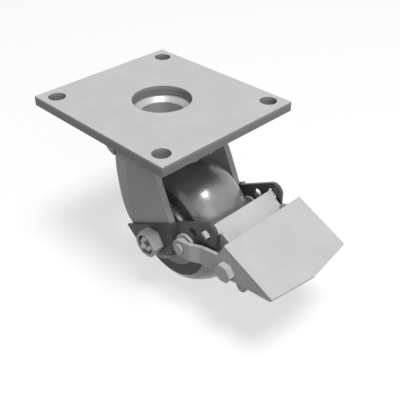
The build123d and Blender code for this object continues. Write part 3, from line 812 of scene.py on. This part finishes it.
class Bench:
    """Modelling steps that several pieces share."""

    @staticmethod
    def clear() -> None:
        """Deselect everything."""
        bpy.ops.object.select_all(action="DESELECT")

    @staticmethod
    def pick(piece: bpy.types.Object) -> None:
        """Select one piece alone and make it the active one."""
        Bench.clear()
        piece.select_set(True)
        bpy.context.view_layer.objects.active = piece

    @staticmethod
    def take(name: str) -> bpy.types.Object:
        """Name the active piece, such as a primitive that was just added.

        Args:
            name: The piece's name.

        Returns:
            The piece.
        """
        piece = bpy.context.active_object
        piece.name = name
        piece.data.name = name
        return piece

    @staticmethod
    @contextmanager
    def editing(piece: bpy.types.Object) -> Iterator[bmesh.types.BMesh]:
        """Edit mode with one piece and nothing selected.

        Args:
            piece: The piece.

        Yields:
            Its edit mesh.
        """
        Bench.pick(piece)
        bpy.ops.object.mode_set(mode="EDIT")
        bpy.ops.mesh.select_all(action="DESELECT")
        yield bmesh.from_edit_mesh(piece.data)
        bpy.ops.object.mode_set(mode="OBJECT")

    @staticmethod
    def modify(piece: bpy.types.Object, kind: str, **settings: Any) -> None:
        """Add a modifier and apply it.

        Args:
            piece: The piece.
            kind: Blender's name of the modifier.
            **settings: The modifier's properties.
        """
        Bench.pick(piece)
        modifier = piece.modifiers.new(kind.lower(), kind)
        for key, value in settings.items():
            setattr(modifier, key, value)
        bpy.ops.object.modifier_apply(modifier=modifier.name)

    @staticmethod
    def settle(piece: bpy.types.Object) -> None:
        """Move the piece's place into its mesh."""
        bpy.context.view_layer.update()
        piece.data.transform(piece.matrix_world)
        piece.matrix_world = Matrix.Identity(4)

    @staticmethod
    def join(pieces: Sequence[bpy.types.Object], name: str) -> bpy.types.Object:
        """Join pieces into the first.

        Args:
            pieces: The pieces.
            name: The joined piece's name.

        Returns:
            The joined piece.
        """
        Bench.pick(pieces[0])
        for piece in pieces:
            piece.select_set(True)
        bpy.ops.object.join()
        return Bench.take(name)

    @staticmethod
    def trim(piece: bpy.types.Object, place: Sequence[float], off: Sequence[float]) -> None:
        """Cut a piece with a plane and close the cut.

        Args:
            piece: The piece.
            place: A point of the plane, in metres.
            off: The direction of the side that is cut off.
        """
        with Bench.editing(piece):
            bpy.ops.mesh.select_all(action="SELECT")
            bpy.ops.mesh.bisect(
                plane_co=place,
                plane_no=off,
                use_fill=True,
                clear_outer=True,
                threshold=MERGE_DISTANCE,
            )

    @staticmethod
    def close(piece: bpy.types.Object) -> None:
        """Merge doubles, fill open ends and turn all faces outwards."""
        with Bench.editing(piece):
            bpy.ops.mesh.select_all(action="SELECT")
            bpy.ops.mesh.remove_doubles(threshold=MERGE_DISTANCE)
            bpy.ops.mesh.select_all(action="DESELECT")
            bpy.ops.mesh.select_mode(type="EDGE")
            bpy.ops.mesh.select_non_manifold()
            bpy.ops.mesh.fill_holes(sides=0)
            bpy.ops.mesh.select_mode(type="VERT")
            bpy.ops.mesh.select_all(action="SELECT")
            bpy.ops.mesh.normals_make_consistent(inside=False)

    @staticmethod
    def smooth(piece: bpy.types.Object, degrees: float) -> None:
        """Shade smooth up to an angle between faces.

        Args:
            piece: The piece.
            degrees: The angle.
        """
        Bench.pick(piece)
        bpy.ops.object.shade_smooth_by_angle(angle=math.radians(degrees))

    @staticmethod
    def hand_over(
        piece: bpy.types.Object, material: bpy.types.Material, body: str, slot: str
    ) -> None:
        """Dress a finished piece and let it ride on its body.

        Args:
            piece: The piece.
            material: Its finish.
            body: The CAD body that carries it.
            slot: The record's material slot; not used.
        """
        piece.data.materials.clear()
        piece.data.materials.append(material)
        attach(piece, body)
        log.info("piece %s rides on %s", piece.name, body)


@dataclass(frozen=True)
class BoltThread:
    """A cut thread on the end of a bolt that lies along Y, in millimetres."""

    name: str
    axis: tuple[float, float]
    root: float
    crest: float
    pitch: float
    start: float
    end: float
    steps: int = 48
    spare_teeth: int = 3
    merge: float = 0.000002
    smooth_angle: float = 28.0

    def build(self) -> bpy.types.Object:
        """Turn a toothed line once round the bolt and up by one pitch, and trim both ends.

        Returns:
            The thread.
        """
        teeth = int((self.end - self.start) / self.pitch) + self.spare_teeth
        length = teeth * self.pitch
        middle = (self.start + self.end) / 2
        Bench.clear()
        bpy.ops.mesh.primitive_plane_add(size=length * MM)
        thread = Bench.take(self.name)
        with Bench.editing(thread) as mesh:
            for vert in mesh.verts:
                vert.select = vert.co.x < 0.0
            bpy.ops.mesh.delete(type="VERT")
        with Bench.editing(thread):
            bpy.ops.mesh.select_all(action="SELECT")
            bpy.ops.mesh.subdivide(number_cuts=2 * teeth - 1)
            bpy.ops.transform.translate(value=((self.root - length / 2) * MM, 0.0, 0.0))
            bpy.ops.mesh.select_all(action="DESELECT")
            bpy.ops.mesh.select_mode(type="VERT")
            for vert in bmesh.from_edit_mesh(thread.data).verts:
                vert.select = round(vert.co.y / (self.pitch / 2 * MM)) % 2 != 0
            bpy.ops.transform.translate(value=((self.crest - self.root) * MM, 0.0, 0.0))
        Bench.modify(
            thread,
            "SCREW",
            axis="Y",
            angle=math.tau,
            screw_offset=self.pitch * MM,
            steps=self.steps,
            render_steps=self.steps,
            use_merge_vertices=True,
            merge_threshold=self.merge,
        )
        thread.location = (
            self.axis[0] * MM,
            (middle - self.pitch / 2) * MM,
            self.axis[1] * MM,
        )
        Bench.settle(thread)
        for place, outwards in ((self.start, -1.0), (self.end, 1.0)):
            Bench.trim(thread, (0.0, place * MM, 0.0), (0.0, outwards, 0.0))
        Bench.close(thread)
        Bench.smooth(thread, self.smooth_angle)
        return thread


@dataclass(frozen=True)
class CheckBall:
    """The small ball that closes a grease fitting's mouth, in millimetres."""

    name: str
    mouth: Triple
    outwards: Triple
    radius: float = 0.95
    sunk: float = 0.45
    smooth_angle: float = 35.0

    def build(self) -> bpy.types.Object:
        """Add the ball, flattened where the spring carries it.

        Returns:
            The ball.
        """
        outwards = Vector(self.outwards).normalized()
        place = (Vector(self.mouth) - outwards * self.sunk) * MM
        Bench.clear()
        bpy.ops.mesh.primitive_uv_sphere_add(
            segments=32, ring_count=20, radius=self.radius * MM, location=place
        )
        ball = Bench.take(self.name)
        Bench.settle(ball)
        Bench.trim(ball, place - outwards * self.sunk * MM, -outwards)
        Bench.close(ball)
        Bench.smooth(ball, self.smooth_angle)
        return ball


@dataclass
class SwivelHead:
    """Top plate, races and seal, and the welds that hold the legs under the crown.

    Sizes are in millimetres, and angles in degrees, apart from bead_turn, which is in radians.
    """

    finishes: Finishes
    bead_start: float = -18.0
    bead_end: float = 18.5
    bead_pitch: float = 1.25
    bead_radius: float = 2.5
    bead_flatness: float = 0.62
    bead_play: float = 0.07
    bead_offset: float = 0.35
    bead_turn: float = 0.12
    bead_voxel: float = 0.25
    bead_smooth_angle: float = 60.0
    rear_crease: float = -0.3
    rear_lean: float = 0.268
    corner_rise: float = 0.0509
    corner_start: float = 0.416
    draws: random.Random = field(default_factory=lambda: random.Random(WELD_SEED))
    check_ball: CheckBall = CheckBall(
        "swivel_check_ball", mouth=(-35.92, 35.92, -21.5), outwards=(-1.0, 1.0, 0.0)
    )

    def leg_face(self, along: float) -> float:
        """Distance of a leg's outer face from the middle, just under the crown.

        Args:
            along: Place along X in millimetres.

        Returns:
            The distance in millimetres.
        """
        rear = max(0.0, self.rear_crease - along) * self.rear_lean
        front = max(0.0, along * self.corner_rise + self.corner_start)
        return PLAN.leg_outer - rear - front

    def weld(self, name: str, side: int) -> bpy.types.Object:
        """One rippled fillet weld between a leg and the crown.

        Args:
            name: The piece's name.
            side: -1 right or +1 left.

        Returns:
            The weld.
        """
        count = int((self.bead_end - self.bead_start) / self.bead_pitch)
        Bench.clear()
        bpy.ops.mesh.primitive_uv_sphere_add(
            segments=20, ring_count=12, radius=self.bead_radius * MM
        )
        ripple = Bench.take(name + "_ripple")
        with Bench.editing(ripple):
            bpy.ops.mesh.select_all(action="SELECT")
            bpy.ops.transform.resize(value=(self.bead_flatness, 1.0, 1.0))
        ripples = []
        for step in range(count + 1):
            along = self.bead_start + step * self.bead_pitch
            face = self.leg_face(along)
            lean = self.leg_face(along + 1.0) - face
            made = ripple.copy()
            made.data = ripple.data.copy()
            bpy.context.scene.collection.objects.link(made)
            size = 1.0 + self.draws.uniform(-self.bead_play, self.bead_play)
            across = side * (face + self.bead_offset)
            place = Vector((along, across, PLAN.crown_bottom - self.bead_offset)) * MM
            turn = Matrix.Rotation(math.atan(side * lean) + self.bead_turn * side, 4, "Z")
            made.matrix_world = Matrix.Translation(place) @ turn @ Matrix.Scale(size, 4)
            Bench.settle(made)
            ripples.append(made)
        bpy.data.objects.remove(ripple)
        bead = Bench.join(ripples, name)
        Bench.modify(bead, "REMESH", mode="VOXEL", voxel_size=self.bead_voxel * MM)
        Bench.modify(bead, "SMOOTH", factor=0.5, iterations=2)
        Bench.close(bead)
        Bench.smooth(bead, self.bead_smooth_angle)
        return bead

    def build(self) -> None:
        """Dress the head and add its welds and the ball of its grease fitting."""
        for node, name in (
            ("top_plate", "zinc_sheared"),
            ("outer_race", "zinc_turned"),
            ("inner_race", "race_swivel"),
            ("race_balls", "race_swivel"),
            ("swivel_seal", "seal_skin"),
            ("swivel_grease_fitting", "fitting_plating"),
            ("left_leg", "zinc_rolled"),
            ("right_leg", "zinc_rolled"),
        ):
            self.finishes.dress(node, name)
        for name, side in (("right_leg_weld", -1), ("left_leg_weld", 1)):
            weld = self.weld(name, side)
            Bench.hand_over(weld, self.finishes["weld_metal"], "fork", "zinc_plate")
        ball = self.check_ball.build()
        Bench.hand_over(ball, self.finishes["race_axle"], "fork", "race_steel")


@dataclass
class WheelSet:
    """Wheel, bearings and axle, in millimetres."""

    finishes: Finishes
    nut_face: float = 51.6
    insert_radius: float = 7.15
    insert_bulge: float = 0.62
    insert_sunk: float = 0.2
    insert_smooth_angle: float = 60.0
    thread: BoltThread = BoltThread(
        "axle_bolt_thread",
        PLAN.axle,
        root=5.2,
        crest=6.36,
        pitch=1.954,
        start=50.2,
        end=54.55,
    )
    check_ball: CheckBall = CheckBall(
        "axle_check_ball", mouth=(30.4, -51.7, -92.1), outwards=(0.0, -1.0, 0.0)
    )

    def insert(self) -> bpy.types.Object:
        """The nylon ring that stands a little proud of the lock nut's collar.

        Returns:
            The ring.
        """
        along = self.nut_face - self.insert_sunk
        Bench.clear()
        bpy.ops.mesh.primitive_torus_add(
            major_segments=64,
            minor_segments=16,
            major_radius=self.insert_radius * MM,
            minor_radius=self.insert_bulge * MM,
            rotation=(math.pi / 2, 0.0, 0.0),
            location=(PLAN.axle[0] * MM, along * MM, PLAN.axle[1] * MM),
        )
        ring = Bench.take("axle_nut_insert")
        Bench.settle(ring)
        Bench.close(ring)
        Bench.smooth(ring, self.insert_smooth_angle)
        return ring

    def build(self) -> None:
        """Dress the wheel, its bearings and the axle, and add the small pieces at its ends."""
        self.finishes.dress("tread", "tread_face")
        self.finishes.dress("wheel_core", "machined_core")
        for side in ("left", "right"):
            for ring in ("bearing_inner", "bearing_outer", "bearing_balls", "bearing_shield"):
                self.finishes.dress(f"{side}_{ring}", "race_axle")
            self.finishes.dress(f"{side}_hub_spacer", "bright_axle")
        for node in ("axle_bolt", "axle_washer", "axle_nut", "axle_sleeve", "bearing_spacer"):
            self.finishes.dress(node, "bright_axle")
        self.finishes.dress("axle_grease_fitting", "fitting_plating")
        for piece, finish, slot in (
            (self.thread.build(), "bright_axle", "bright_zinc"),
            (self.insert(), "nylon_insert", "seal_rubber"),
            (self.check_ball.build(), "race_axle", "race_steel"),
        ):
            Bench.hand_over(piece, self.finishes[finish], "fork", slot)


@dataclass
class FootBrake:
    """Brackets, pedal, shoe and their fasteners."""

    finishes: Finishes
    thread: BoltThread = BoltThread(
        "cross_bolt_thread",
        PLAN.cross,
        root=3.15,
        crest=3.97,
        pitch=1.411,
        start=46.0,
        end=48.95,
    )

    def build(self) -> None:
        """Dress the brake and add the cross bolt's thread."""
        self.finishes.dress("brake_pedal", "zinc_rolled")
        self.finishes.dress("brake_shoe", "bright_sheet")
        for side in ("left", "right"):
            self.finishes.dress(f"{side}_bracket", "black_coat")
            self.finishes.dress(f"{side}_pivot_stud", "bright_pivot")
            self.finishes.dress(f"{side}_pivot_spacer", "bright_pivot")
        for node in ("cross_bolt", "cross_nut", "cross_sleeve"):
            self.finishes.dress(node, "bright_cross")
        thread = self.thread.build()
        Bench.hand_over(thread, self.finishes["bright_cross"], "pedal", "bright_zinc")


@dataclass(frozen=True)
class Lamp:
    """A round soft lamp, aimed at the caster from a direction in degrees."""

    name: str
    azimuth: float
    elevation: float
    distance: float
    size: float
    power: float

    def hang(self, target: Vector) -> None:
        """Add the lamp to the scene.

        Args:
            target: The point that it shines at, in metres.
        """
        turn, lift = math.radians(self.azimuth), math.radians(self.elevation)
        towards = Vector(
            (math.cos(lift) * math.cos(turn), math.cos(lift) * math.sin(turn), math.sin(lift))
        )
        data = bpy.data.lights.new(self.name, "AREA")
        data.shape = "DISK"
        data.size = self.size
        data.energy = self.power
        lamp = bpy.data.objects.new(self.name, data)
        aim = (-towards).to_track_quat("-Z", "Y").to_matrix().to_4x4()
        lamp.matrix_world = Matrix.Translation(target + towards * self.distance) @ aim
        bpy.context.scene.collection.objects.link(lamp)


@dataclass
class Studio:
    """Floor, lights, world and the camera of the photograph, in metres."""

    floor_size: float = 4.0
    floor_colour: Colour = (0.4, 0.4, 0.4)
    floor_bounce: Colour = (0.1, 0.1, 0.1)
    floor_glow: float = 0.64
    floor_roughness: float = 0.9
    world_colour: Colour = (0.13, 0.13, 0.13)
    target: Triple = (0.03, 0.0, -0.06)
    lamps: tuple[Lamp, ...] = (
        Lamp("key_lamp", azimuth=-18.0, elevation=71.0, distance=4.0, size=1.45, power=130.0),
        Lamp("front_lamp", azimuth=-25.0, elevation=27.0, distance=4.0, size=2.6, power=28.0),
    )
    camera_place: Triple = (0.32018, -0.28084, 0.20961)
    camera_back: Triple = (0.57735, -0.57735, 0.57735)
    lens: float = 57.54
    sensor: float = 36.0

    def floor(self) -> None:
        """A plain floor under the wheel, which looks white and lights the caster only a little."""
        bottom = (PLAN.axle[1] - PLAN.wheel_radius) * MM
        Bench.clear()
        bpy.ops.mesh.primitive_plane_add(size=self.floor_size, location=(0.0, 0.0, bottom))
        plane = Bench.take("floor")
        bench = NodeBench.material("floor_paper")
        seen = bench.seen()
        plane.data.materials.append(
            bench.finish(
                {
                    "Base Color": bench.tint(seen, self.floor_bounce, self.floor_colour),
                    "Emission Color": bench.tint(seen, BLACK, WHITE),
                    "Emission Strength": self.floor_glow,
                    "Roughness": self.floor_roughness,
                    "Specular IOR Level": 0.0,
                }
            )
        )

    def camera(self) -> None:
        """The camera at the photograph's place and angle."""
        data = bpy.data.cameras.new("photo_camera")
        data.sensor_width = self.sensor
        data.sensor_fit = "HORIZONTAL"
        data.lens = self.lens
        camera = bpy.data.objects.new("photo_camera", data)
        turn = (-Vector(self.camera_back)).to_track_quat("-Z", "Y").to_matrix().to_4x4()
        camera.matrix_world = Matrix.Translation(Vector(self.camera_place)) @ turn
        bpy.context.scene.collection.objects.link(camera)
        bpy.context.scene.camera = camera

    def world(self) -> None:
        """Surroundings that look white and give a low even light."""
        bench = NodeBench.world("surroundings")
        colour = bench.tint(bench.seen(), self.world_colour, WHITE)
        bpy.context.scene.world = bench.finish({"Color": colour})

    def build(self) -> None:
        """Set up the studio."""
        bpy.context.scene.view_settings.view_transform = "Standard"
        self.floor()
        self.world()
        for lamp in self.lamps:
            lamp.hang(Vector(self.target))
        self.camera()


def main() -> None:
    """Build the studio and each sub-assembly in order."""
    logging.basicConfig(level=logging.INFO, format="%(message)s")
    Studio().build()
    finishes = Finishes()
    for assembly in (SwivelHead(finishes), WheelSet(finishes), FootBrake(finishes)):
        assembly.build()
        log.info("finished %s", type(assembly).__name__)


if __name__ == "__main__":
    main()
